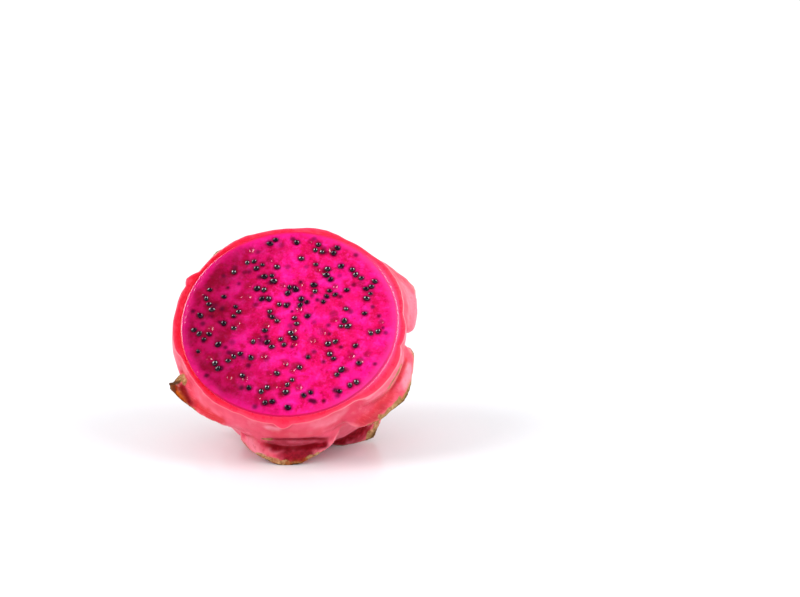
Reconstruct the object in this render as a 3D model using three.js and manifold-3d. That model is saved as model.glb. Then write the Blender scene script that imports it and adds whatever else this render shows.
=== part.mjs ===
// Half of a red-fleshed dragon fruit, cut across and lying tilted back on the tips of its scales.
// Millimetres. In the fruit's own frame the cut is the plane z = 0 and faces +z, and the flower
// end is behind it, so a depth is measured towards -z. Angles go round the cut from +x to +y.
import * as THREE from 'three';
import { mergeVertices } from 'three/addons/utils/BufferGeometryUtils.js';
import Module from 'manifold-3d';

const wasm = await Module();
wasm.setup();

// Driving dimensions
const bodyRadius = 43.5; // rind without its scales, where it is fattest
const fattestDepth = 6; // how far behind the cut it is fattest
const bodyDepth = 51; // cut to flower end
const rindWall = 1.9; // rind between two scales
const endWall = 6; // rind at the flower end, under the flower scar
const fleshGap = 0.3; // between rind and flesh
const fleshProud = 0.4; // flesh stands this far out of the cut
const fleshEdge = 0.7; // rounding of the flesh where it meets the rind
const faceTilt = 45.9; // the cut leans back this many degrees from level
const faceHeight = 50.3; // middle of the cut above the surface the fruit lies on
const faceAcross = -1.0; // middle of the cut in plan, from the middle of the whole outline
const faceAlong = -14.4;
const lipThickness = 1.1; // scale at its free edge
const scarRadius = 8; // dry scar that the flower leaves
const scarDepth = 2.6;
const seedCount = 120;
const seedLength = 2.3;
const seedWidth = 1.6;
const seedHeight = 1.3;
const seedFieldRadius = 38; // no seed lies further out than this
const seedSpacing = 2.1; // least between any two
const groupSpacing = 4.4; // least from the first seed of a group to any other
const seedStep = 2.7; // from one seed of a group to the next
const groupMost = 3; // most seeds in a group
const seedDrawStart = 2026; // start of the seeded draw

const radians = THREE.MathUtils.degToRad;

// Every scale starts as a swelling at the depth `start`, stands `rise` proud at the depth `axil`, and
// from there its blade is free for `length`. It leaves the skin at the angle `flare` and turns out by
// `curl` more on its way to the tip. `skew` turns the tip round the fruit, a high `blunt` squares it, a
// high `taper` points it, and a high `edge` keeps it thick right out to its sides. Each ring starts with
// what its scales share.
const ring = (shared, scales) => scales.map((scale) => ({ ...shared, ...scale }));

const rimScales = ring({ axil: 9, curl: 0, rise: 1.9, blunt: 3, taper: 0.55 }, [
  { angle: 270, start: -16, width: 46, length: 4.5, flare: 6, skew: -6, edge: 3 },
  { angle: 328, start: -20, axil: 3, width: 33, length: 4, flare: 6, skew: 3, rise: 2.7, edge: 4 },
  { angle: 178, start: -20, width: 41, length: 5, flare: 3, skew: 10, rise: 2.4, blunt: 4, edge: 9 },
]);
const firstScale = { start: -3, axil: 5, width: 33, length: 12, rise: 3, blunt: 2.3, taper: 0.55,
  edge: 2.4 };
const firstRing = ring(firstScale, [
  { angle: 239, start: -4, axil: 6, width: 40, length: 8.8, flare: 12, curl: 78, skew: -32, rise: 1.6,
    blunt: 2, taper: 1 },
  { angle: 272.5, start: 6, axil: 12.5, width: 41.5, length: 10.2, flare: 48, curl: 12, skew: -3, rise: 2.9 },
  { angle: 325.5, axil: 6.5, width: 42.5, length: 11, flare: 40, curl: -9, skew: 6, rise: 2, blunt: 4.2,
    taper: 0.4 },
  { angle: 25, start: -4, width: 42, length: 10.5, flare: 38, curl: 10, skew: 3, rise: 3.2, blunt: 3.4 },
  { angle: 76, axil: 9, width: 35, flare: 26, curl: 44, skew: -4, rise: 3.2 },
  { angle: 125, width: 30, length: 9, flare: 30, curl: 30, skew: 4, rise: 2.5 },
  { angle: 178, start: 8, axil: 18, length: 11, flare: 16, curl: 22, skew: 4 },
]);
const secondRing = ring({ start: 15, axil: 26, width: 29, rise: 3.2, blunt: 2, taper: 0.55, edge: 2.4 }, [
  { angle: 310.5, start: 18, axil: 30, width: 33, length: 13.8, flare: 42, curl: 10, skew: 11, rise: 2.2 },
  { angle: 353, length: 12.5, flare: 30, curl: 36, skew: -4 },
  { angle: 49, axil: 25, width: 30, length: 13, flare: 26, curl: 56, skew: 5 },
  { angle: 101, length: 12.5, flare: 28, curl: 48, skew: -5 },
  { angle: 152, axil: 25, length: 13, flare: 28, curl: 44, skew: 5 },
  { angle: 205, width: 28, length: 11.5, flare: 20, curl: 30, skew: -3, rise: 3 },
  { angle: 254, start: 17, axil: 27, width: 28, length: 9, flare: 6, curl: 0, skew: 3, rise: 1.7 },
]);
const thirdScale = { start: 30, axil: 38.5, width: 20, length: 14, rise: 2.8, blunt: 1.6, taper: 0.55,
  edge: 2.4 };
const thirdRing = ring(thirdScale, [
  { angle: 234, start: 31, axil: 39, length: 13, flare: 34, curl: 6, skew: -3, rise: 2.3 },
  { angle: 293, start: 32, axil: 40.5, length: 11, flare: 28, curl: 6, skew: 4, rise: 1.9 },
  { angle: 338, length: 13, flare: 34, curl: 30, skew: 4 },
  { angle: 22, flare: 30, curl: 42, skew: -5 },
  { angle: 75, flare: 30, curl: 46, skew: 5 },
  { angle: 128, flare: 30, curl: 40, skew: -5 },
  { angle: 181, length: 13, flare: 34, curl: 30, skew: 4 },
]);
const crownScale = { start: 42, axil: 45.5, width: 11, length: 8, curl: 24, rise: 1.8, blunt: 1.5,
  taper: 0.55, edge: 2.4 };
const crown = ring(crownScale, [
  { angle: 18, flare: 40, skew: -10 },
  { angle: 92, flare: 44, skew: 10 },
  { angle: 160, flare: 48, skew: -10 },
  { angle: 232, flare: 40, skew: 10 },
  { angle: 305, flare: 44, skew: -10 },
]);

// A ridge crosses the rim here and makes a tooth or a step in the outline of the cut.
const keels = [
  { angle: 155, halfAngle: 6.5, height: 3, depth: 8 },
  { angle: 270, halfAngle: 6.5, height: 3.5, depth: 5 },
  { angle: 312.5, halfAngle: 6, height: 1.2, depth: 7 },
  { angle: 355, halfAngle: 14, height: 1.4, depth: 14 },
];

// Solids

function solidFrom(geometry) {
  const bare = geometry.clone();
  bare.deleteAttribute('normal');
  bare.deleteAttribute('uv');
  const merged = mergeVertices(bare, 1e-4);
  const vertProperties = new Float32Array(merged.attributes.position.array);
  const triVerts = new Uint32Array(merged.index.array);
  return new wasm.Manifold(new wasm.Mesh({ numProp: 3, vertProperties, triVerts }));
}

// The largest connected skin of a solid: leaves out what is sealed inside it, so a small hollow between
// two scales is filled, and any loose scrap.
function largestSkin(solid) {
  const { vertProperties, triVerts } = solid.getMesh();
  const parent = Int32Array.from({ length: vertProperties.length / 3 }, (_, i) => i);
  const find = (i) => {
    let root = i;
    while (parent[root] !== root) root = parent[root];
    parent[i] = root;
    return root;
  };
  for (let i = 0; i < triVerts.length; i += 3) {
    parent[find(triVerts[i])] = find(triVerts[i + 1]);
    parent[find(triVerts[i + 1])] = find(triVerts[i + 2]);
  }
  const skins = new Map();
  for (let i = 0; i < triVerts.length; i += 3) {
    const root = find(triVerts[i]);
    if (!skins.has(root)) skins.set(root, []);
    skins.get(root).push(triVerts[i], triVerts[i + 1], triVerts[i + 2]);
  }
  const index = [...skins.values()].reduce((most, skin) => (skin.length > most.length ? skin : most));
  const geometry = new THREE.BufferGeometry();
  geometry.setAttribute('position', new THREE.BufferAttribute(vertProperties, 3));
  geometry.setIndex(index);
  return geometry;
}

// Joins loops of points, each with the same count, into one closed body. A loop runs along an outer
// edge and back along an inner one, so its two halves face each other and close the ends.
function loft(loops) {
  const count = loops[0].length;
  const positions = loops.flat().flatMap((p) => [p.x, p.y, p.z]);
  const index = [];
  const quad = (a, b, c, d) => index.push(a, b, c, a, c, d);
  for (let row = 0; row + 1 < loops.length; row += 1) {
    for (let i = 0; i < count; i += 1) {
      const next = (i + 1) % count;
      quad(row * count + i, (row + 1) * count + i, (row + 1) * count + next, row * count + next);
    }
  }
  const last = (loops.length - 1) * count;
  for (let i = 0; i + 1 < count / 2; i += 1) {
    const facing = count - 1 - i;
    quad(i, i + 1, facing - 1, facing);
    quad(last + i, last + facing, last + facing - 1, last + i + 1);
  }
  const geometry = new THREE.BufferGeometry();
  geometry.setAttribute('position', new THREE.Float32BufferAttribute(positions, 3));
  geometry.setIndex(index);
  return geometry;
}

// Shape of the body

function profileRadius(depth, radius, length) {
  const along = (depth - fattestDepth) / (length - fattestDepth);
  return radius * Math.sqrt(Math.max(0, 1 - along * along));
}

// The point of the skin at a depth, with the directions towards the flower end and outwards.
function meridian(depth) {
  const length = bodyDepth - fattestDepth;
  const turn = Math.asin((depth - fattestDepth) / length);
  const along = new THREE.Vector2(-bodyRadius * Math.sin(turn), length * Math.cos(turn)).normalize();
  const outward = new THREE.Vector2(along.y, -along.x);
  return { point: new THREE.Vector2(bodyRadius * Math.cos(turn), depth), along, outward };
}

function around(point, angle) {
  return new THREE.Vector3(point.x * Math.cos(angle), point.x * Math.sin(angle), -point.y);
}

function egg(radius, length, fromDepth, segments, rings) {
  const first = Math.asin((fromDepth - fattestDepth) / (length - fattestDepth));
  const points = [new THREE.Vector2(0, -fromDepth)];
  for (let i = 0; i <= rings; i += 1) {
    const turn = first + ((Math.PI / 2 - first) * i) / rings;
    const depth = fattestDepth + (length - fattestDepth) * Math.sin(turn);
    points.push(new THREE.Vector2(i === rings ? 0 : radius * Math.cos(turn), -depth));
  }
  return latheAlongZ(points.reverse(), segments);
}

// A lathe turns round y, so the result is laid over to turn round z.
function latheAlongZ(points, segments) {
  return new THREE.LatheGeometry(points, segments).rotateX(Math.PI / 2);
}

// Scales

const bladeSteps = [0.12, 0.38, 0.66, 0.88, 1];

function scaleSolid(scale, across, swellSteps) {
  const base = meridian(scale.axil);
  const ringRadius = base.point.x + scale.rise;
  const ridge = (q) => 1 - Math.abs(q) ** scale.edge;
  const loops = [];

  const addLoop = (halfWidth, turned, pointsAt) => {
    const outer = [];
    const inner = [];
    for (let i = 0; i <= across; i += 1) {
      const q = (2 * i) / across - 1;
      const angle = radians(scale.angle + turned) + (q * halfWidth) / ringRadius;
      const [outside, inside] = pointsAt(q);
      outer.push(around(outside, angle));
      inner.push(around(inside, angle));
    }
    loops.push([...outer, ...inner.reverse()]);
  };

  for (let step = 0; step <= swellSteps; step += 1) {
    const f = step / swellSteps;
    const skin = meridian(Math.max(scale.start + (scale.axil - scale.start) * f, -20));
    const height = scale.rise * f ** 1.3;
    const halfWidth = (scale.width / 2) * (0.45 + 0.55 * Math.sin((f * Math.PI) / 2));
    addLoop(halfWidth, 0, (q) => [
      skin.point.clone().addScaledVector(skin.outward, height * ridge(q) - 0.3 * Math.abs(q) ** 4),
      skin.point.clone().addScaledVector(skin.outward, -rindWall - 1),
    ]);
  }

  const heading = (t) => radians(scale.flare * Math.min(1, t / 0.25) + scale.curl * t);
  const travelled = (t) => {
    const fine = 24;
    const sum = new THREE.Vector2();
    for (let i = 0; i < fine; i += 1) {
      const turn = heading(((i + 0.5) / fine) * t);
      sum.addScaledVector(base.along, (Math.cos(turn) * scale.length * t) / fine);
      sum.addScaledVector(base.outward, (Math.sin(turn) * scale.length * t) / fine);
    }
    return sum;
  };
  for (const t of bladeSteps) {
    const way = travelled(t);
    const turn = heading(t);
    const back = base.outward.clone().multiplyScalar(Math.cos(turn));
    back.addScaledVector(base.along, -Math.sin(turn));
    const halfWidth = (scale.width / 2) * Math.max(0.14, (1 - t ** scale.blunt) ** scale.taper);
    addLoop(halfWidth, scale.skew * t, (q) => {
      const foot = base.point.clone().addScaledVector(base.outward, scale.rise * ridge(q) * (1 - 0.2 * t));
      const outside = foot.add(way);
      const thickness = lipThickness + (scale.rise + 0.6 - lipThickness) * (1 - t) ** 0.8 * ridge(q);
      return [outside, outside.clone().addScaledVector(back, -thickness)];
    });
  }
  return solidFrom(loft(loops));
}

function keelSolid(keel) {
  const loops = [-10, 0, keel.depth * 0.5, keel.depth].map((depth, row) => {
    const skin = meridian(depth);
    const height = keel.height * [1.2, 1, 0.5, 0.05][row];
    return [-1, 0, 1, 1, 0, -1].map((q, i) => {
      const lift = i < 3 ? height * (1 - Math.abs(q)) - 0.2 : -rindWall - 1;
      const point = skin.point.clone().addScaledVector(skin.outward, lift);
      return around(point, radians(keel.angle + q * keel.halfAngle));
    });
  });
  return solidFrom(loft(loops));
}

// Rind: the skin with all its scales, hollow for the flesh, cut at z = 0 and flat where it lies

function makeRind(surfaceBelow) {
  let rind = solidFrom(egg(bodyRadius, bodyDepth, -10, 44, 13));
  for (const scale of [...rimScales, ...firstRing]) rind = rind.add(scaleSolid(scale, 8, 3));
  for (const scale of [...secondRing, ...thirdRing]) rind = rind.add(scaleSolid(scale, 6, 3));
  for (const scale of crown) rind = rind.add(scaleSolid(scale, 4, 2));
  for (const keel of keels) rind = rind.add(keelSolid(keel));

  const hollow = egg(bodyRadius - rindWall, bodyDepth - endWall, -3, 40, 10);
  const beyondCut = new THREE.BoxGeometry(160, 160, 40).translate(0, 0, 20);
  const scar = latheAlongZ([
    new THREE.Vector2(0, -bodyDepth - 8),
    new THREE.Vector2(scarRadius, -bodyDepth - 8),
    new THREE.Vector2(scarRadius, -bodyDepth + 0.4),
    new THREE.Vector2(scarRadius * 0.7, -bodyDepth + scarDepth),
    new THREE.Vector2(0, -bodyDepth + scarDepth * 0.6),
  ], 20);
  return rind.subtract(solidFrom(hollow)).subtract(solidFrom(beyondCut)).subtract(solidFrom(scar))
    .subtract(solidFrom(surfaceBelow));
}

// Flesh: fills the hollow, with the seeds standing a little out of the cut

function seededDraw(start) {
  let state = start;
  return () => {
    state = (state * 16807) % 2147483647;
    return state / 2147483647;
  };
}

// Seeds lie alone or in groups of two or three.
function seedPlaces() {
  const draw = seededDraw(seedDrawStart);
  const places = [];
  while (places.length < seedCount) {
    const radius = seedFieldRadius * Math.sqrt(draw());
    const angle = 2 * Math.PI * draw();
    let x = radius * Math.cos(angle);
    let y = radius * Math.sin(angle);
    const inGroup = Math.ceil(groupMost * draw());
    for (let i = 0; i < inGroup; i += 1) {
      const turn = Math.PI * draw();
      const aside = 2 * Math.PI * draw();
      const inField = Math.hypot(x, y) < seedFieldRadius;
      const nearest = Math.min(...places.map((p) => Math.hypot(p.x - x, p.y - y)));
      const clear = nearest > (i === 0 ? groupSpacing : seedSpacing);
      if (i === 0 && !clear) break;
      if (inField && clear && places.length < seedCount) places.push({ x, y, turn });
      x += seedStep * Math.cos(aside);
      y += seedStep * Math.sin(aside);
    }
  }
  return places;
}

function makeFlesh() {
  const radius = bodyRadius - rindWall - fleshGap;
  const length = bodyDepth - endWall - fleshGap;
  const points = [new THREE.Vector2(0, fleshProud)];
  points.push(new THREE.Vector2(profileRadius(0, radius, length) - fleshEdge, fleshProud));
  points.push(new THREE.Vector2(profileRadius(0, radius, length) - 0.2, fleshProud - 0.35));
  const rings = 9;
  const firstTurn = -0.14;
  for (let i = 0; i <= rings; i += 1) {
    const turn = firstTurn + ((Math.PI / 2 - firstTurn) * i) / rings;
    const depth = fattestDepth + (length - fattestDepth) * Math.sin(turn);
    points.push(new THREE.Vector2(i === rings ? 0 : profileRadius(depth, radius, length), -depth));
  }
  let flesh = solidFrom(latheAlongZ(points.reverse(), 40));
  for (const place of seedPlaces()) {
    const seed = new THREE.SphereGeometry(0.5, 6, 2).rotateX(Math.PI / 2);
    seed.scale(seedLength, seedWidth, seedHeight);
    seed.rotateZ(place.turn);
    seed.translate(place.x, place.y, fleshProud - 0.1);
    flesh = flesh.add(solidFrom(seed));
  }
  return flesh;
}

// The fruit, tilted back and set on the surface

const fruit = new THREE.Group();
fruit.rotation.x = radians(faceTilt);
fruit.position.set(faceAcross, faceAlong, faceHeight);
fruit.updateMatrixWorld(true);

const surfaceBelow = new THREE.BoxGeometry(300, 300, 60).translate(0, 0, -30);
surfaceBelow.applyMatrix4(fruit.matrixWorld.clone().invert());

const rindSkin = new THREE.MeshStandardMaterial({ color: 0xf9607f, roughness: 0.42, metalness: 0 });
const magentaFlesh = new THREE.MeshStandardMaterial({ color: 0xe21070, roughness: 0.22, metalness: 0 });

const rind = new THREE.Mesh(largestSkin(makeRind(surfaceBelow)), rindSkin);
rind.name = 'rind';
const flesh = new THREE.Mesh(largestSkin(makeFlesh()), magentaFlesh);
flesh.name = 'flesh';
fruit.add(rind, flesh);

const group = new THREE.Group();
group.add(fruit);

export default group;
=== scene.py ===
# Half of a red-fleshed dragon fruit, lying tilted back on the tips of its scales, with its cut face up.
# The fruit is modelled in millimetres in its own frame, where the cut is the plane z = 0 and the flower
# end is below it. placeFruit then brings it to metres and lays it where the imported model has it.
import math

import bmesh
import bpy
import numpy as np
from mathutils import Matrix, Vector, kdtree, noise


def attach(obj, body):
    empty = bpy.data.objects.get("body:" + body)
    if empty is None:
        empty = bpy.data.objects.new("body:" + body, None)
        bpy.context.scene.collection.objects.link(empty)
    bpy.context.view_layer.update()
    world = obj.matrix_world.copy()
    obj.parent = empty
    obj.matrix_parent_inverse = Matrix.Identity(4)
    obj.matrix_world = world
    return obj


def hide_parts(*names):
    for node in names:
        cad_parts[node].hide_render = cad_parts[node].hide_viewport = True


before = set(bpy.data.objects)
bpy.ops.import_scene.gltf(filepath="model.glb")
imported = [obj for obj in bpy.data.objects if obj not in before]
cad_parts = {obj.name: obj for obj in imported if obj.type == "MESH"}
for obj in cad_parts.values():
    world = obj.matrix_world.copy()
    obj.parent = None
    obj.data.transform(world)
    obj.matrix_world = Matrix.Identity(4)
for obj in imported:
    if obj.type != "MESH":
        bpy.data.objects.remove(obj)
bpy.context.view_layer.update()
print("frame loaded:", sorted(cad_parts))

# ---- the fruit as a whole: the same driving sizes as the solids
fruit = {
    "bodyRadius": 43.5,  # without its scales, where it is fattest
    "fattestDepth": 6,
    "bodyDepth": 51,  # cut to flower end
    "rindWall": 1.9,
    "endWall": 6,
    "faceTilt": 45.9,
    "facePlace": (-1.0, -14.4, 50.3),  # middle of the cut
}
eggLength = fruit["bodyDepth"] - fruit["fattestDepth"]
mm = 0.001
tilt = Matrix.Rotation(math.radians(fruit["faceTilt"]), 4, "X")
fruitPlace = Matrix.Scale(mm, 4) @ Matrix.Translation(fruit["facePlace"]) @ tilt


def onlySelect(obj):
    bpy.ops.object.select_all(action="DESELECT")
    obj.select_set(True)
    bpy.context.view_layer.objects.active = obj


def applyModifier(obj, kind, **settings):
    onlySelect(obj)
    modifier = obj.modifiers.new(kind.title(), kind)
    for name, value in settings.items():
        setattr(modifier, name, value)
    bpy.ops.object.modifier_apply(modifier=modifier.name)


def joinAll(first, others):
    onlySelect(first)
    for obj in others:
        obj.select_set(True)
    bpy.ops.object.join()
    return first


def placeFruit(obj):
    obj.data.transform(fruitPlace)
    obj.data.update()


def points(obj):
    co = np.empty(len(obj.data.vertices) * 3)
    obj.data.vertices.foreach_get("co", co)
    return co.reshape(-1, 3)


def movePoints(obj, co):
    obj.data.vertices.foreach_set("co", co.ravel())
    obj.data.update()


def pointNormals(obj):
    normals = np.empty(len(obj.data.vertices) * 3)
    obj.data.vertex_normals.foreach_get("vector", normals)
    return normals.reshape(-1, 3)


def writeAttribute(obj, name, values):
    layer = obj.data.attributes.get(name) or obj.data.attributes.new(name, "FLOAT", "POINT")
    layer.data.foreach_set("value", np.asarray(values, dtype=np.float32))


def readAttribute(obj, name):
    values = np.empty(len(obj.data.vertices), dtype=np.float32)
    obj.data.attributes[name].data.foreach_get("value", values)
    return values


def noiseOver(co, scale, shift=(0, 0, 0)):
    return np.array([noise.noise(Vector(place) * scale + Vector(shift)) for place in co])


def smoothStep(low, high, value):
    t = np.clip((value - low) / (high - low), 0, 1)
    return t * t * (3 - 2 * t)


# ---- camera, first, because the rest is judged through it
camera = {
    "lens": 85,
    "distance": 714.9,
    "elevation": 12.0,
    "azimuth": 2.31,
    "aimFromFace": (41.97, 0, 9.42),
}


def addCamera():
    azimuth = math.radians(camera["azimuth"])
    elevation = math.radians(camera["elevation"])
    back = Vector((math.sin(azimuth) * math.cos(elevation),
                   -math.cos(azimuth) * math.cos(elevation),
                   math.sin(elevation)))
    aim = Vector(fruit["facePlace"]) + Vector(camera["aimFromFace"])
    bpy.ops.object.camera_add(location=(aim + back * camera["distance"]) * mm)
    eye = bpy.context.object
    eye.rotation_euler = back.to_track_quat("Z", "Y").to_euler()
    eye.data.lens = camera["lens"]
    eye.data.sensor_width = 36
    eye.data.clip_end = 100
    bpy.context.scene.camera = eye


addCamera()

# ---- rind: where its scales are. Depths are behind the cut, angles go round it from +x to +y.
# A scale swells from `start`, stands `rise` proud at `axil` and is free from there for `length`.
# It leaves the skin at `flare`, turns out by `curl` more, and its tip is turned round by `skew`.
# A high `blunt` squares its tip, a high `taper` points it, and a high `edge` keeps it thick out to its
# sides. `dry` is how far its lip has browned.


def ring(shared, scales):
    return [{**shared, **scale} for scale in scales]


rimScales = ring({"axil": 9, "curl": 0, "rise": 1.9, "blunt": 3, "taper": 0.55, "dry": 0.25}, [
    {"angle": 270, "start": -16, "width": 46, "length": 4.5, "flare": 6, "skew": -6, "edge": 3},
    {"angle": 328, "start": -20, "axil": 3, "width": 33, "length": 4, "flare": 6, "skew": 3, "rise": 2.7,
     "edge": 4},
    {"angle": 178, "start": -20, "width": 41, "length": 5, "flare": 3, "skew": 10, "rise": 2.4, "blunt": 4,
     "edge": 9},
])
firstScale = {"start": -3, "axil": 5, "width": 33, "length": 12, "rise": 3, "blunt": 2.3, "taper": 0.55,
              "edge": 2.4, "dry": 1}
firstRing = ring(firstScale, [
    {"angle": 239, "start": -4, "axil": 6, "width": 40, "length": 8.8, "flare": 12, "curl": 78, "skew": -32,
     "rise": 1.6, "blunt": 2, "taper": 1},
    {"angle": 272.5, "start": 6, "axil": 12.5, "width": 41.5, "length": 10.2, "flare": 48, "curl": 12,
     "skew": -3, "rise": 2.9},
    {"angle": 325.5, "axil": 6.5, "width": 42.5, "length": 11, "flare": 40, "curl": -9, "skew": 6, "rise": 2,
     "blunt": 4.2, "taper": 0.4},
    {"angle": 25, "start": -4, "width": 42, "length": 10.5, "flare": 38, "curl": 10, "skew": 3, "rise": 3.2,
     "blunt": 3.4, "dry": 0.25},
    {"angle": 76, "axil": 9, "width": 35, "flare": 26, "curl": 44, "skew": -4, "rise": 3.2},
    {"angle": 125, "width": 30, "length": 9, "flare": 30, "curl": 30, "skew": 4, "rise": 2.5},
    {"angle": 178, "start": 8, "axil": 18, "length": 11, "flare": 16, "curl": 22, "skew": 4},
])
secondScale = {"start": 15, "axil": 26, "width": 29, "rise": 3.2, "blunt": 2, "taper": 0.55, "edge": 2.4,
               "dry": 1}
secondRing = ring(secondScale, [
    {"angle": 310.5, "start": 18, "axil": 30, "width": 33, "length": 13.8, "flare": 42, "curl": 10,
     "skew": 11, "rise": 2.2},
    {"angle": 353, "length": 12.5, "flare": 30, "curl": 36, "skew": -4},
    {"angle": 49, "axil": 25, "width": 30, "length": 13, "flare": 26, "curl": 56, "skew": 5},
    {"angle": 101, "length": 12.5, "flare": 28, "curl": 48, "skew": -5},
    {"angle": 152, "axil": 25, "length": 13, "flare": 28, "curl": 44, "skew": 5},
    {"angle": 205, "width": 28, "length": 11.5, "flare": 20, "curl": 30, "skew": -3, "rise": 3},
    {"angle": 254, "start": 17, "axil": 27, "width": 28, "length": 9, "flare": 6, "curl": 0, "skew": 3,
     "rise": 1.7},
])
thirdScale = {"start": 30, "axil": 38.5, "width": 20, "length": 14, "rise": 2.8, "blunt": 1.6,
              "taper": 0.55, "edge": 2.4, "dry": 1.2}
thirdRing = ring(thirdScale, [
    {"angle": 234, "start": 31, "axil": 39, "length": 13, "flare": 34, "curl": 6, "skew": -3, "rise": 2.3},
    {"angle": 293, "start": 32, "axil": 40.5, "length": 11, "flare": 28, "curl": 6, "skew": 4, "rise": 1.9},
    {"angle": 338, "length": 13, "flare": 34, "curl": 30, "skew": 4},
    {"angle": 22, "flare": 30, "curl": 42, "skew": -5},
    {"angle": 75, "flare": 30, "curl": 46, "skew": 5},
    {"angle": 128, "flare": 30, "curl": 40, "skew": -5},
    {"angle": 181, "length": 13, "flare": 34, "curl": 30, "skew": 4},
])
crownScale = {"start": 42, "axil": 45.5, "width": 11, "length": 8, "curl": 24, "rise": 1.8, "blunt": 1.5,
              "taper": 0.55, "edge": 2.4, "dry": 1.3}
crown = ring(crownScale, [
    {"angle": 18, "flare": 40, "skew": -10},
    {"angle": 92, "flare": 44, "skew": 10},
    {"angle": 160, "flare": 48, "skew": -10},
    {"angle": 232, "flare": 40, "skew": 10},
    {"angle": 305, "flare": 44, "skew": -10},
])

# a ridge crosses the rim at each of these and makes a tooth or a step in the outline of the cut
keels = [
    {"angle": 155, "halfAngle": 6.5, "height": 3, "depth": 8},
    {"angle": 270, "halfAngle": 6.5, "height": 3.5, "depth": 5},
    {"angle": 312.5, "halfAngle": 6, "height": 1.2, "depth": 7},
    {"angle": 355, "halfAngle": 14, "height": 1.4, "depth": 14},
]

# lines of points (radius, angle, depth) on the skin. A fold is pressed in by `sink` and darkened by `dark`,
# which is painted shade in its crease.
# A wash only colours, most along its line and less towards `width` from it.
folds = [
    {"line": [(44.8, 259, 10.4), (44.8, 265.3, 10.6), (45, 270, 10), (45.1, 274.8, 10.1), (45.2, 279.5, 10.9),
              (45.2, 284.2, 12), (45.2, 289, 13.9), (45, 294, 16)],
     "width": 0.8, "sink": 0.35, "dark": 0.9},
    {"line": [(45.6, 257, 14.8), (45.4, 264, 14.9), (45.6, 272, 14.8), (45.7, 280, 15.3), (45.7, 289, 16.2)],
     "width": 1.2, "sink": 0.7, "dark": 1},
    {"line": [(45.2, 348, 9.8), (45.4, 341, 9.2), (45.8, 334, 8.8), (46, 325, 8.6)],
     "width": 0.8, "sink": 0.5, "dark": 0.35},
    {"line": [(46.2, 207.5, 9.2), (46.6, 211, 9.5), (47, 215, 9.9), (47.4, 219, 10.2), (47, 223, 9.8)],
     "width": 1, "sink": 0.35, "dark": 0.7},
]


def stroke(width, strength, *line):
    return {"line": line, "width": width, "strength": strength}


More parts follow.
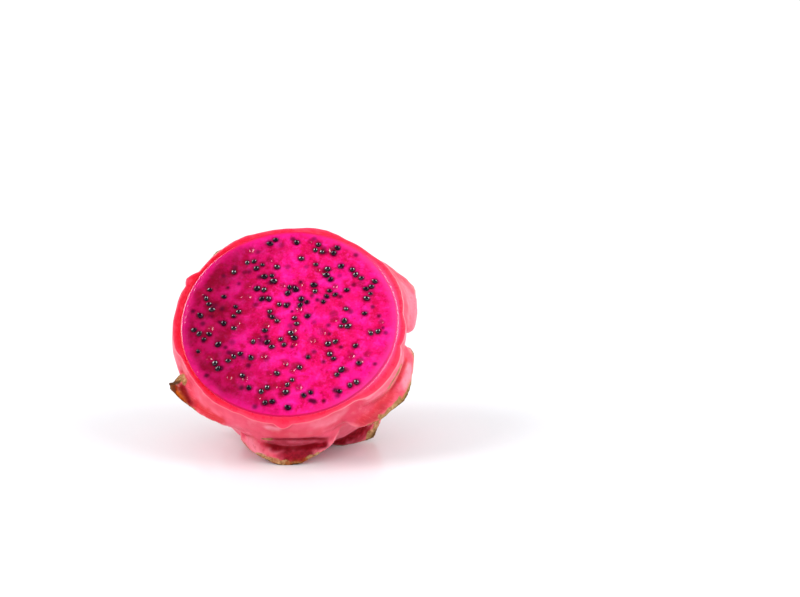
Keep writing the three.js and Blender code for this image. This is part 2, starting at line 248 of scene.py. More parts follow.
washes = {
    # painted highlights: pale streaks where the skin and the cut's outer edge catch the light
    "paintedHighlight": [
        stroke(3.6, 0.8, (47, 343.4, 11), (48, 341.4, 12.3), (48.4, 336, 12.4)),
        stroke(3, 0.6, (45.3, 252.5, 15.3), (47, 255.1, 16.7), (48.6, 258.3, 18.2)),
        stroke(1.1, 0.7, (44.7, 343, 0.6), (44.6, 327, 0.4), (44.9, 313, 1)),
        stroke(1.9, 0.7, (44.4, 262.5, 2.6), (44.6, 265, 3), (44.9, 267.4, 3.2)),
        stroke(3.4, 0.3, (44.2, 286, 3.4), (44.1, 293, 4), (43.5, 300, 2.8)),
        stroke(5, 0.35, (46.2, 7, 7.6), (47.6, 18.4, 7.7), (47.7, 26, 7.7)),
    ],
    "flush": [
        stroke(4.5, 0.45, (44.9, 266, 6), (44.8, 276.8, 6.5), (44.9, 286, 8)),
        stroke(4.5, 0.75, (46.6, 308, 11), (47.6, 312.4, 11.9), (46.8, 318, 10.8), (46.4, 327, 9.6)),
        stroke(1.9, 1, (45.4, 346, 9.6), (45.4, 341, 9.3), (45.8, 335, 9)),
        stroke(3.6, 1, (49, 214.3, 10.7), (46.8, 219.8, 9.6), (46.2, 227.9, 8.7), (45.7, 238.2, 8)),
    ],
    # dark red under the scales: partly their own colour, partly painted shade where they are overhung
    "deepRedAndShade": [
        stroke(2.4, 0.6, (45.2, 263, 13), (45.3, 270, 12.4), (45.4, 279, 13), (45.3, 288, 14.8)),
        stroke(2.6, 1, (46, 265, 15.2), (46.2, 277, 15.4), (46.2, 288, 16)),
        stroke(4.8, 0.9, (48, 270.5, 17), (48.6, 274.5, 17.4), (48.4, 280, 17.2)),
        stroke(6, 1, (37.6, 299, 35), (37.8, 303, 34.6), (38, 308, 34.4), (38.2, 312, 35.4),
               (38.3, 316, 36.4)),
        stroke(3.4, 0.7, (39.1, 309.5, 38.8), (39, 313, 39.4), (38.8, 317, 39)),
        stroke(2, 0.8, (46.6, 210, 9.6), (47, 214, 9.9), (47.4, 218, 10.2)),
        stroke(2.6, 0.3, (48.2, 217, 10.6), (46.6, 221.5, 9.5)),
        stroke(2.8, 0.25, (47.8, 311, 12.4), (47.7, 316, 12), (47.3, 320, 11.2)),
    ],
    "amber": [
        stroke(3.2, 1, (49.2, 207.6, 10.3), (49.2, 211, 10.5), (48.9, 215.5, 10.7)),
        stroke(2, 0.7, (48, 207.6, 10), (47.8, 210, 10)),
        stroke(1.5, 0.65, (50.4, 271, 19.1), (50, 274.8, 18.9), (49.6, 278, 18.9)),
    ],
    "sere": [
        stroke(1.4, 0.64, (46, 339, 3.7), (46.1, 332, 3.7), (46.2, 326, 4.2)),
        stroke(2.2, 0.75, (47.9, 316.5, 13.4), (48.8, 320, 14.2), (49, 324.4, 14.2), (49, 328.6, 13.9)),
        stroke(1, 0.8, (49.6, 210.5, 11.2), (49.1, 214, 11.4), (48.4, 218, 11.4), (47.8, 223, 11)),
        stroke(1.2, 0.7, (45, 259, 11.6), (45, 263.5, 10.9)),
        stroke(2.6, 0.9, (47.3, 204.2, 10.8), (45.4, 206, 9.1), (44.8, 209, 8.3)),
        stroke(3.2, 0.9, (38.8, 326, 39.6), (39.4, 322, 41.4), (39.5, 317.5, 41.6)),
        stroke(2.4, 1, (48.6, 257.9, 18.9), (48.9, 259.8, 19.2), (49.7, 263, 19.4), (50.3, 266.2, 19.4),
               (50.6, 270, 19.4)),
        stroke(1.6, 0.8, (49.4, 279.5, 18.8), (48.9, 281.4, 18.6), (48.4, 284.4, 18.4)),
    ],
    "fresh": [
        stroke(2.6, 1, (44.9, 301.8, 10.1), (46.1, 303.6, 11.5), (46.8, 305.7, 12.5), (47.3, 308, 13.1)),
        stroke(2.6, 1, (46.9, 289, 17.6), (46.1, 292.3, 17.3), (44.8, 295, 16.2), (43.6, 298, 15.2)),
    ],
    "brown": [
        stroke(2.3, 1, (50.4, 204.6, 11.4), (48.9, 205.4, 11)),
        stroke(1.1, 1, (48.9, 205.6, 10.9), (46.6, 207, 9.6)),
        stroke(1.2, 0.9, (39.9, 324, 42.6), (40.2, 318, 43.2), (39.9, 311, 42.2)),
    ],
}

rind = {
    "voxel": 0.61,
    "lip": 0.9,  # thickness at a free edge
    "lipReach": 2.5,  # the skin is not softened closer to a free edge than this
    "across": 24,  # cells of one scale
    "along": 36,
    "nicks": 0.6,  # along a lip
    "waves": 0.9,  # of a blade
    "softening": 7,  # rounds
    "swells": 0.45,  # of the whole skin
    "dents": 0.16,
    "rimRound": 0.5,
    "rimBulge": 0.15,
    "innerRadius": 41.25,
    "scarRadius": 8,
    "scarDepth": 2.6,
    "hollowRounds": 20,  # of the mean that the hollows are measured from
}


def meridianAt(depth):
    # point (radius, depth) of the skin, the direction towards the flower end, and outwards
    turn = math.asin(max(-1, min(1, (depth - fruit["fattestDepth"]) / eggLength)))
    point = Vector((fruit["bodyRadius"] * math.cos(turn), depth))
    along = Vector((-fruit["bodyRadius"] * math.sin(turn), eggLength * math.cos(turn))).normalized()
    return point, along, Vector((along.y, -along.x))


def around(point, angle):
    return Vector((point.x * math.cos(angle), point.x * math.sin(angle), -point.y))


def scaleRow(scale, s):
    # what one row of a scale shares: s runs from 0 where the swelling starts to 1 at the tip
    swellShare = 0.4
    flareShare = 0.25
    base, along, outward = meridianAt(scale["axil"])
    row = {"ringRadius": base.x + scale["rise"]}
    if s <= swellShare:
        f = s / swellShare
        skin, _, out = meridianAt(max(scale["start"] + (scale["axil"] - scale["start"]) * f, -20))
        row.update(blade=0, turned=0, skin=skin, out=out, height=scale["rise"] * f ** 1.3,
                   halfWidth=scale["width"] / 2 * (0.45 + 0.55 * math.sin(f * math.pi / 2)))
        return row
    t = (s - swellShare) / (1 - swellShare)
    t = t + 0.06 * math.sin(t * math.pi)  # rows closer together towards the tip
    way = Vector((0, 0))
    steps = 24
    for i in range(steps):
        part = (i + 0.5) / steps * t
        turn = math.radians(scale["flare"] * min(1, part / flareShare) + scale["curl"] * part)
        way += (along * math.cos(turn) + outward * math.sin(turn)) * (scale["length"] * t / steps)
    turn = math.radians(scale["flare"] * min(1, t / flareShare) + scale["curl"] * t)
    row.update(blade=t, turned=scale["skew"] * t, foot=base + way, out=outward,
               ahead=along * math.cos(turn) + outward * math.sin(turn),
               back=outward * math.cos(turn) - along * math.sin(turn),
               halfWidth=scale["width"] / 2 * max(0.14, (1 - min(1, t) ** scale["blunt"]) ** scale["taper"]))
    return row


def scalePoint(scale, row, q, inside):
    ridge = 1 - abs(q) ** scale["edge"]
    angle = math.radians(scale["angle"] + row["turned"]) + q * row["halfWidth"] / row["ringRadius"]
    t = row["blade"]
    if "skin" in row:
        lift = -fruit["rindWall"] - 1 if inside else row["height"] * ridge - 0.3 * abs(q) ** 4
        return around(row["skin"] + row["out"] * lift, angle)
    # nicks along the lip
    nick = noise.noise(Vector((q * row["halfWidth"] * 0.45, t * scale["length"] * 0.45, scale["angle"])))
    angle += math.copysign(rind["nicks"] * nick * abs(q) ** 6, q) / row["ringRadius"]
    point = row["foot"] + row["out"] * (scale["rise"] * ridge * (1 - 0.2 * t))
    point += row["ahead"] * (0.7 * nick * t ** 6)
    if inside:
        lip = rind["lip"]
        thickness = lip + (scale["rise"] + 0.6 - lip) * max(0, 1 - t) ** 0.8 * ridge
        point = point - row["back"] * thickness
    wave = noise.noise(Vector((angle * 7, t * 2, scale["angle"])))
    return around(point, angle) + around(row["back"], angle) * (rind["waves"] * wave * t * t)


def makeScale(scale):
    bpy.ops.mesh.primitive_grid_add(x_subdivisions=rind["across"], y_subdivisions=rind["along"], size=2)
    obj = bpy.context.object
    bpy.ops.object.mode_set(mode="EDIT")
    bpy.ops.mesh.select_all(action="SELECT")
    bpy.ops.mesh.extrude_region_move(TRANSFORM_OT_translate={"value": (0, 0, -1)})
    bpy.ops.object.mode_set(mode="OBJECT")
    grid = points(obj)
    rows = {}
    labels = np.zeros((len(grid), 4), dtype=np.float32)
    shaped = np.empty_like(grid)
    for i, (q, y, z) in enumerate(grid):
        s = (y + 1) / 2
        key = round(s, 4)
        if key not in rows:
            rows[key] = scaleRow(scale, s)
        row = rows[key]
        inside = z < -0.5
        shaped[i] = scalePoint(scale, row, q, inside)
        t = row["blade"]
        edge = min((1 - t) * scale["length"], (1 - abs(q)) * row["halfWidth"] + 6 * max(0, 0.3 - t))
        labels[i] = (edge if t > 0 else 9, t, 1 if inside and t > 0.1 else 0, q)
    movePoints(obj, shaped)
    return obj, labels


def makeBody():
    bpy.ops.mesh.primitive_uv_sphere_add(segments=128, ring_count=80, radius=1)
    body = bpy.context.object
    bpy.ops.object.mode_set(mode="EDIT")
    bpy.ops.mesh.select_all(action="SELECT")
    radius = fruit["bodyRadius"]
    bpy.ops.transform.resize(value=(radius, radius, eggLength))
    bpy.ops.transform.translate(value=(0, 0, -fruit["fattestDepth"]))
    bpy.ops.object.mode_set(mode="OBJECT")
    return body


def labelSkin(skin, sources):
    # carries each scale's own measures over to the joined skin: how far the lip is, how far out along
    # the blade, which side, how far across, how dry the lip is, and which scale it is
    names = ("lipDistance", "blade", "inner", "across", "dry", "scaleNumber")
    places = np.vstack([co for co, _ in sources])
    table = np.vstack([labels for _, labels in sources])
    tree = kdtree.KDTree(len(places))
    for i, place in enumerate(places):
        tree.insert(place, i)
    tree.balance()
    co = points(skin)
    found = np.empty((len(co), len(names)), dtype=np.float32)
    for k, place in enumerate(co):
        near = tree.find_n(place, 3)
        weights = np.array([1 / (0.05 + distance) for _, _, distance in near])
        found[k] = weights @ table[[index for _, index, _ in near]] / weights.sum()
    for column, name in enumerate(names):
        writeAttribute(skin, name, found[:, column])


def neighbourMean(obj, values, rounds):
    edges = np.empty(len(obj.data.edges) * 2, dtype=np.int64)
    obj.data.edges.foreach_get("vertices", edges)
    a, b = edges[0::2], edges[1::2]
    count = len(values)
    degree = np.bincount(a, minlength=count) + np.bincount(b, minlength=count)
    degree = np.maximum(degree, 1)
    for _ in range(rounds):
        total = np.empty_like(values)
        for axis in range(values.shape[1]):
            total[:, axis] = np.bincount(a, values[b, axis], count) + np.bincount(b, values[a, axis], count)
        values = total / degree[:, None]
    return values


def makeRind():
    body = makeBody()
    bodyPoints = points(body)
    sources = [(bodyPoints, np.tile((9.0, 0, 0, 0, 0, 0), (len(bodyPoints), 1)))]
    scales = []
    for number, scale in enumerate(rimScales + firstRing + secondRing + thirdRing + crown):
        obj, labels = makeScale(scale)
        scales.append(obj)
        shared = np.tile((scale["dry"], number), (len(labels), 1))
        sources.append((points(obj), np.hstack((labels, shared))))
    skin = joinAll(body, scales)
    print("rind: scales set on the body")
    applyModifier(skin, "REMESH", mode="VOXEL", voxel_size=rind["voxel"])
    print("rind: one skin of", len(skin.data.vertices), "points")
    labelSkin(skin, sources)
    # soft everywhere but at the lips, which stay thin
    lipDistance = readAttribute(skin, "lipDistance")
    keep = np.clip(1 - lipDistance / rind["lipReach"], 0, 1) * (readAttribute(skin, "blade") > 0.02)
    co = points(skin)
    for _ in range(rind["softening"]):
        mean = neighbourMean(skin, co, 1)
        co = co + (mean - co) * (0.6 * (1 - 0.8 * keep))[:, None]
    movePoints(skin, co)
    shapeKeels(skin)
    shapeScar(skin)
    roughenSkin(skin)
    markSkin(skin)
    layFlat(skin)
    openAndLine(skin)
    return skin


def shapeKeels(skin):
    co = points(skin)
    angle = np.degrees(np.arctan2(co[:, 1], co[:, 0])) % 360
    depth = -co[:, 2]
    radius = np.hypot(co[:, 0], co[:, 1])
    inEgg = 1 - ((depth - fruit["fattestDepth"]) / eggLength) ** 2
    skinRadius = fruit["bodyRadius"] * np.sqrt(np.clip(inEgg, 0, 1))
    for keel in keels:
        q = np.abs((angle - keel["angle"] + 180) % 360 - 180) / keel["halfAngle"]
        fade = np.interp(depth, [-10, 0, keel["depth"] / 2, keel["depth"]], [1.2, 1, 0.5, 0])
        lift = keel["height"] * (1 - q ** 1.4) * fade - 0.2
        wanted = skinRadius + lift
        raised = (q < 1) & (depth < keel["depth"]) & (depth > -10) & (wanted > radius) & (radius > 35)
        gain = np.where(raised, wanted / np.maximum(radius, 1), 1)
        co[:, 0] *= gain
        co[:, 1] *= gain
    movePoints(skin, co)


def shapeScar(skin):
    co = points(skin)
    radius = np.hypot(co[:, 0], co[:, 1])
    r = radius / rind["scarRadius"]
    atFlowerEnd = co[:, 2] < -40
    near = atFlowerEnd & (r < 1)
    bowl = rind["scarDepth"] * (1 - smoothStep(0.55, 1, r))
    floorOfScar = -fruit["bodyDepth"] + bowl
    co[near, 2] = np.maximum(co[near, 2], floorOfScar[near])
    co[near, 2] += 0.35 * noiseOver(co[near], 0.9) * (1 - r[near])
    movePoints(skin, co)
    writeAttribute(skin, "scar", np.where(atFlowerEnd, 1 - smoothStep(0.8, 1.15, r), 0))


def roughenSkin(skin):
    co = points(skin)
    normals = pointNormals(skin)
    swells = rind["swells"] * noiseOver(co, 0.085)
    dents = rind["dents"] * noiseOver(co, 0.28, (9, 0, 0))
    co += normals * (swells + dents)[:, None]
    movePoints(skin, co)


def distanceTo(line, co):
    # how far each point is from a line through (radius, angle, depth) points, and how far along it
    bends = [np.array(around(Vector((radius, depth)), math.radians(angle))) for radius, angle, depth in line]
    lengths = [np.linalg.norm(end - start) for start, end in zip(bends, bends[1:])]
    nearest = np.full(len(co), 1000.0)
    along = np.zeros(len(co))
    for i, (start, end) in enumerate(zip(bends, bends[1:])):
        way = end - start
        share = np.clip((co - start) @ way / (way @ way), 0, 1)
        distance = np.linalg.norm(co - start - share[:, None] * way, axis=1)
        closer = distance < nearest
        nearest[closer] = distance[closer]
        along[closer] = (sum(lengths[:i]) + share[closer] * lengths[i]) / sum(lengths)
    return nearest, along


def markSkin(skin):
    co = points(skin)
    normals = pointNormals(skin)
    # the marks are on the side of a scale that shows from the cut, never on its underside
    radius = np.maximum(np.hypot(co[:, 0], co[:, 1]), 1)
    facing = (normals[:, 0] * co[:, 0] + normals[:, 1] * co[:, 1]) / radius + 0.6 * normals[:, 2]
    facing = smoothStep(0, 0.4, facing)
    unevenness = noiseOver(co, 0.45)
    sink = np.zeros(len(co))
    dark = np.zeros(len(co))
    for fold in folds:
        distance, along = distanceTo(fold["line"], co)
        reach = distance / fold["width"]
        fade = smoothStep(0, 0.22, along) * smoothStep(1, 0.78, along)
        sink += fold["sink"] * fade * np.exp(-reach ** 2)
        # painted shade in the crease of each fold
        dark = np.maximum(dark, fold["dark"] * fade * np.exp(-(reach / 1.4) ** 2))
    writeAttribute(skin, "fold", dark * facing)
    for name, lines in washes.items():
        tone = np.zeros(len(co))
        for wash in lines:
            reach = distanceTo(wash["line"], co)[0] / wash["width"] + 0.35 * unevenness
            tone = np.maximum(tone, wash["strength"] * (1 - smoothStep(0.2, 1, reach)))
        writeAttribute(skin, name, tone * facing)
    movePoints(skin, co - normals * (sink * facing)[:, None])


def layFlat(skin):
    # tips that would reach below the surface are pressed flat on it
    world = Matrix.Translation(fruit["facePlace"]) @ tilt
    turn = np.array(world)
    co = points(skin)
    placed = co @ turn[:3, :3].T + turn[:3, 3]
    placed[:, 2] = np.maximum(placed[:, 2], 0.02)
    movePoints(skin, (placed - turn[:3, 3]) @ turn[:3, :3])


def extendEdge(bm, edges, place, labels=()):
    # one more row out from an open edge, each point moved by `place` and given its labels
    made = bmesh.ops.extrude_edge_only(bm, edges=edges)["geom"]
    row = [g for g in made if isinstance(g, bmesh.types.BMEdge)]
    corners = list(dict.fromkeys(v for e in row for v in e.verts))
    for v in corners:
        v.co = place(v.co)
        for layer, value in labels:
            v[layer] = value
    return row, corners


def atRadius(co, radius, z):
    flat = Vector((co.x, co.y, 0))
    flat *= radius / flat.length
    return Vector((flat.x, flat.y, z))


def keepLargest(bm):
    # whatever the remesh left inside the outer skin goes
    waiting = set(bm.verts)
    largest = set()
    while waiting:
        part = set()
        stack = [waiting.pop()]
        while stack:
            vertex = stack.pop()
            part.add(vertex)
            for edge in vertex.link_edges:
                other = edge.other_vert(vertex)
                if other in waiting:
                    waiting.remove(other)
                    stack.append(other)
        if len(part) > len(largest):
            largest = part
    bmesh.ops.delete(bm, geom=[v for v in bm.verts if v not in largest], context="VERTS")


def openAndLine(skin):
    # cut the skin open just below the face, round its edge over, and line it
    rimRound = rind["rimRound"]
    onlySelect(skin)
    bpy.ops.object.mode_set(mode="EDIT")
    bpy.ops.mesh.select_all(action="SELECT")
    bpy.ops.mesh.bisect(plane_co=(0, 0, -rimRound), plane_no=(0, 0, 1), clear_outer=True)
    bpy.ops.object.mode_set(mode="OBJECT")
    bm = bmesh.new()
    bm.from_mesh(skin.data)
    keepLargest(bm)
    bmesh.ops.remove_doubles(bm, verts=[v for v in bm.verts if v.is_boundary], dist=0.15)
    edges = [e for e in bm.edges if e.is_boundary]
    print("rind: rim of", len(edges), "edges")
    cut = bm.verts.layers.float.new("cut")
    ringTone = bm.verts.layers.float.new("ringTone")
    for rise, inward, tone in ((0.3, 0.02, 0.25), (0.75, 0.09, 0.7), (1, 0.25, 1)):
        edges, _ = extendEdge(bm, edges, lambda co: atRadius(
            co, math.hypot(co.x, co.y) - inward, -rimRound * (1 - rise)), [(cut, tone)])
    inner = rind["innerRadius"]
    steps = 5
    for i in range(steps):
        share = (i + 1) / steps
        z = rind["rimBulge"] * math.sin(share * math.pi)
        edges, _ = extendEdge(bm, edges, lambda co: atRadius(
            co, math.hypot(co.x, co.y) + (inner - math.hypot(co.x, co.y)) / (steps - i), z),
            [(cut, 1), (ringTone, share)])
    rows = 6
    halfLength = fruit["bodyDepth"] - fruit["endWall"] - fruit["fattestDepth"]
    firstTurn = math.asin(-fruit["fattestDepth"] / halfLength)
    for i in range(1, rows + 1):
        turn = firstTurn + (math.pi / 2 - firstTurn) * i / rows
        radius = max(0.05, inner * math.cos(turn) / math.cos(firstTurn))
        z = -(fruit["fattestDepth"] + halfLength * math.sin(turn))
        edges, corners = extendEdge(bm, edges, lambda co: atRadius(co, radius, z),
                                    [(cut, 1), (ringTone, 1)])
    bmesh.ops.remove_doubles(bm, verts=corners, dist=0.2)
    bmesh.ops.recalc_face_normals(bm, faces=bm.faces)
    bm.to_mesh(skin.data)
    bm.free()
    skin.data.update()


# ---- flesh: a dense face, drawn down round each seed and pitted where a seed fell out
flesh = {
    "radius": 41.3,
    "topRadius": 40.9,
    "proud": 0.4,
    "cells": 220,
    "swells": 0.12,
    "grain": 0.06,
    "edgeWidth": 2.4,  # over which the face falls to its edge
    "dip": 0.3,
    "dipRadius": 1.1,
    "crimsonRadius": 1.75,  # round a seed
    "violetRadius": 1.35,
    "pitDepth": 0.42,
    "beads": 0.35,
}
seeds = {
    "count": 120,
    "length": 2.25,
    "width": 1.7,
    "height": 1.4,
    "fieldRadius": 38,
    "spacing": 2.1,
    "groupSpacing": 4.4,
    "step": 2.7,
    "groupMost": 3,
    "drawStart": 2026,
    "buried": 75,
    "lost": 52,
    "leastSunk": -0.1,
    "sunkSpread": 0.45,
    "lean": 0.9,
    "smallest": 0.88,
    "sizeSpread": 0.46,
}


def seededDraw(start):
    state = start
    while True:
        state = state * 16807 % 2147483647
        yield state / 2147483647


def drawSpots(draw, count, reach):
    spots = []
    for _ in range(count):
        radius = reach * math.sqrt(next(draw))
        angle = 2 * math.pi * next(draw)
        spots.append({"x": radius * math.cos(angle), "y": radius * math.sin(angle),
                      "size": 0.75 + 0.5 * next(draw), "depth": next(draw)})
    return spots


def drawSeeds(draw):
    # alone or in groups of two or three
    places = []
    while len(places) < seeds["count"]:
        radius = seeds["fieldRadius"] * math.sqrt(next(draw))
        angle = 2 * math.pi * next(draw)
        x, y = radius * math.cos(angle), radius * math.sin(angle)
        inGroup = math.ceil(seeds["groupMost"] * next(draw))
        for i in range(inGroup):
            turn = math.pi * next(draw)
            aside = 2 * math.pi * next(draw)
            inField = math.hypot(x, y) < seeds["fieldRadius"]
            nearest = min((math.hypot(p["x"] - x, p["y"] - y) for p in places), default=1000)
            clear = nearest > (seeds["groupSpacing"] if i == 0 else seeds["spacing"])
            if i == 0 and not clear:
                break
            if inField and clear and len(places) < seeds["count"]:
                places.append({"x": x, "y": y, "turn": turn})
            x += seeds["step"] * math.cos(aside)
            y += seeds["step"] * math.sin(aside)
    for place in places:
        place["sunk"] = seeds["leastSunk"] + seeds["sunkSpread"] * next(draw) ** 2
        place["lean"] = seeds["lean"] * (next(draw) - 0.5)
        place["size"] = seeds["smallest"] + seeds["sizeSpread"] * next(draw)
    return places


def toDisc(x, y):
    # square to disc, with cells of even size
    if x == 0 and y == 0:
        return 0.0, 0.0
    if abs(x) > abs(y):
        r, phi = x, math.pi / 4 * y / x
    else:
        r, phi = y, math.pi / 2 - math.pi / 4 * x / y
    return r * math.cos(phi), r * math.sin(phi)


def makeFlesh(places, pits, buried):
    cells = flesh["cells"]
    bpy.ops.mesh.primitive_grid_add(x_subdivisions=cells, y_subdivisions=cells, size=2)
    obj = bpy.context.object
    obj.name = "fleshBody"
    topRadius = flesh["topRadius"]
    co = points(obj)
    for i, (x, y, _) in enumerate(co):
        dx, dy = toDisc(x, y)
        co[i] = (dx * topRadius, dy * topRadius, 0)
    x, y = co[:, 0], co[:, 1]
    r = np.hypot(x, y)
    grain = noiseOver(co, 0.8, (0, 0, 4))
    height = flesh["proud"] + flesh["swells"] * noiseOver(co, 0.16) + flesh["grain"] * grain
    # crimson, unevenly, round each seed where the flesh is drawn down and in each pit: the flesh's torn
    # crimson, and round the seeds painted shade too
    tornAndShaded = np.zeros(len(co))
    for place in places:
        d = np.hypot(x - place["x"], y - place["y"]) * (1 + 0.35 * grain)
        height -= flesh["dip"] * np.exp(-(d / flesh["dipRadius"]) ** 2)
        tornAndShaded = np.maximum(tornAndShaded, 0.9 * np.exp(-(d / flesh["crimsonRadius"]) ** 4))
    for pit in pits:
        d = np.hypot(x - pit["x"], y - pit["y"]) / pit["size"] * (1 + 0.4 * grain)
        height -= flesh["pitDepth"] * (1 - smoothStep(0.45, 1.05, d)) * (0.5 + 0.5 * pit["depth"])
        tornAndShaded = np.maximum(tornAndShaded, np.exp(-(d / 1.7) ** 4))
    # violet over the buried seeds, and close round those in sight: partly the seed showing through, partly
    # painted shade where it meets the flesh
    coveredAndShaded = np.zeros(len(co))
    for place in places:
        d = np.hypot(x - place["x"], y - place["y"]) / place["size"]
        coveredAndShaded = np.maximum(coveredAndShaded, 0.6 * np.exp(-(d / flesh["violetRadius"]) ** 4))
    for spot in buried:
        d = np.hypot(x - spot["x"], y - spot["y"])
        reach = 0.84 * spot["size"] + 0.4 * spot["depth"]
        coveredAndShaded += (1.05 - 0.5 * spot["depth"]) * np.exp(-(d / reach) ** 3)
    # a few beads of juice where the flesh meets the rind on the left
    beads = np.maximum(noiseOver(co, 1.5, (0, 0, 13.5)) - 0.1, 0)
    beads *= flesh["beads"] * smoothStep(-22, -34, x)
    beads *= np.exp(-((r - topRadius + 1) / 0.5) ** 2)
    edgeFall = smoothStep(topRadius - flesh["edgeWidth"], topRadius, r)
    co[:, 2] = height * (1 - edgeFall) + 0.1 * edgeFall + beads
    movePoints(obj, co)
    writeAttribute(obj, "tornAndShaded", tornAndShaded)
    writeAttribute(obj, "coveredAndShaded", np.clip(coveredAndShaded, 0, 1))
    # the rest of the body, row by row from the edge of the face
    bm = bmesh.new()
    bm.from_mesh(obj.data)
    edges = [e for e in bm.edges if e.is_boundary]
    profile = [(flesh["radius"] + 0.35, -0.06), (flesh["radius"] + 0.15, -0.6)]
    halfLength = fruit["bodyDepth"] - fruit["endWall"] - 0.3 - fruit["fattestDepth"]
    firstTurn = -0.1
    rows = 9
    for i in range(rows + 1):
        turn = firstTurn + (math.pi / 2 - firstTurn) * i / rows
        depth = fruit["fattestDepth"] + halfLength * math.sin(turn)
        profile.append((max(0.05, flesh["radius"] * math.cos(turn)), -depth))
    for radius, z in profile:
        edges, corners = extendEdge(bm, edges, lambda co: atRadius(co, radius, z))
    bmesh.ops.remove_doubles(bm, verts=corners, dist=0.2)
    bmesh.ops.recalc_face_normals(bm, faces=bm.faces)
    bm.to_mesh(obj.data)
    bm.free()
    return obj


def makeSeeds(places):
    bpy.ops.mesh.primitive_ico_sphere_add(subdivisions=2, radius=0.5)
    seed = bpy.context.object
    co = points(seed)
    # a drop, with its narrow end towards +x
    narrow = 1 - 0.35 * smoothStep(0.0, 0.5, co[:, 0])
    co[:, 1] *= narrow
    co[:, 2] *= narrow
    co *= (seeds["length"], seeds["width"], seeds["height"])
    movePoints(seed, co)
    copies = []
    for place in places:
        copy = seed.copy()
        copy.data = seed.data.copy()
        bpy.context.collection.objects.link(copy)
        turn = Matrix.Rotation(place["turn"], 4, "Z") @ Matrix.Rotation(place["lean"], 4, "Y")
        move = Matrix.Translation((place["x"], place["y"], flesh["proud"] - place["sunk"]))
        copy.data.transform(move @ turn @ Matrix.Scale(place["size"], 4))
        copies.append(copy)
    bpy.data.objects.remove(seed)
    joined = joinAll(copies[0], copies[1:])
    joined.name = "seeds"
    return joined


# ---- materials
studioLight = 1.15  # how much brighter than white a white surface would look


def newMaterial(name):
    material = bpy.data.materials.new(name)
    material.use_nodes = True
    tree = material.node_tree
    return material, tree, tree.nodes["Principled BSDF"]


def feed(tree, socket, value):
    if isinstance(value, (int, float, tuple)):
        socket.default_value = value
    else:
        tree.links.new(value, socket)


def addNode(tree, kind, **settings):
    made = tree.nodes.new("ShaderNode" + kind)
    for name, value in settings.items():
        if hasattr(made, name):
            setattr(made, name, value)
        else:
            feed(tree, made.inputs[name], value)
    return made


def setInputs(tree, node, values):
    for name, value in values.items():
        feed(tree, node.inputs[name], value)


def linear(part):
    part /= 255
    return part / 12.92 if part <= 0.04045 else ((part + 0.055) / 1.055) ** 2.4


def seenAs(colour):
    # the base colour that looks like this sRGB colour under the studio's light
    return (*(linear(part) / studioLight for part in colour), 1)


def attribute(tree, name):
    return addNode(tree, "Attribute", attribute_name=name).outputs["Fac"]


def ranged(tree, value, low, high, toLow=0.0, toHigh=1.0):
    made = addNode(tree, "MapRange", interpolation_type="SMOOTHSTEP", Value=value)
    setInputs(tree, made, {"From Min": low, "From Max": high, "To Min": toLow, "To Max": toHigh})
    return made.outputs["Result"]


def calculate(tree, operation, *values):
    made = addNode(tree, "Math", operation=operation)
    for socket, value in zip(made.inputs, values):
        feed(tree, socket, value)
    return made.outputs["Value"]


def product(tree, first, *others):
    for other in others:
        first = calculate(tree, "MULTIPLY", first, other)
    return first


def wobble(tree, value, pattern, amount):
    # value, shifted by up to half of amount either way
    shift = calculate(tree, "MULTIPLY_ADD", pattern, amount, -amount / 2)
    return calculate(tree, "ADD", value, shift)


def mixColour(tree, factor, a, b):
    # a and b are sockets, or colours as they are to look
    made = addNode(tree, "Mix", data_type="RGBA", clamp_factor=True)
    feed(tree, made.inputs[0], factor)
    for socket, colour in ((made.inputs[6], a), (made.inputs[7], b)):
        feed(tree, socket, seenAs(colour) if isinstance(colour, tuple) else colour)
    return made.outputs[2]


def paint(tree, colour, layers):
    # each layer is how much it covers what is under it, and its colour
    for factor, over in layers:
        colour = mixColour(tree, factor, colour, over)
    return colour


def combine(tree, x, y, z):
    return addNode(tree, "CombineXYZ", X=x, Y=y, Z=z).outputs["Vector"]


def noiseAt(tree, vector, scale, detail=3, roughness=0.5, distortion=0.0):
    made = addNode(tree, "TexNoise", Vector=vector, Scale=scale, Detail=detail, Roughness=roughness,
                   Distortion=distortion)
    return made.outputs["Fac"]


def bump(tree, height, strength, distance, normal=None):
    made = addNode(tree, "Bump", Strength=strength, Distance=distance, Height=height)
    if normal:
        tree.links.new(normal, made.inputs["Normal"])
    return made.outputs["Normal"]


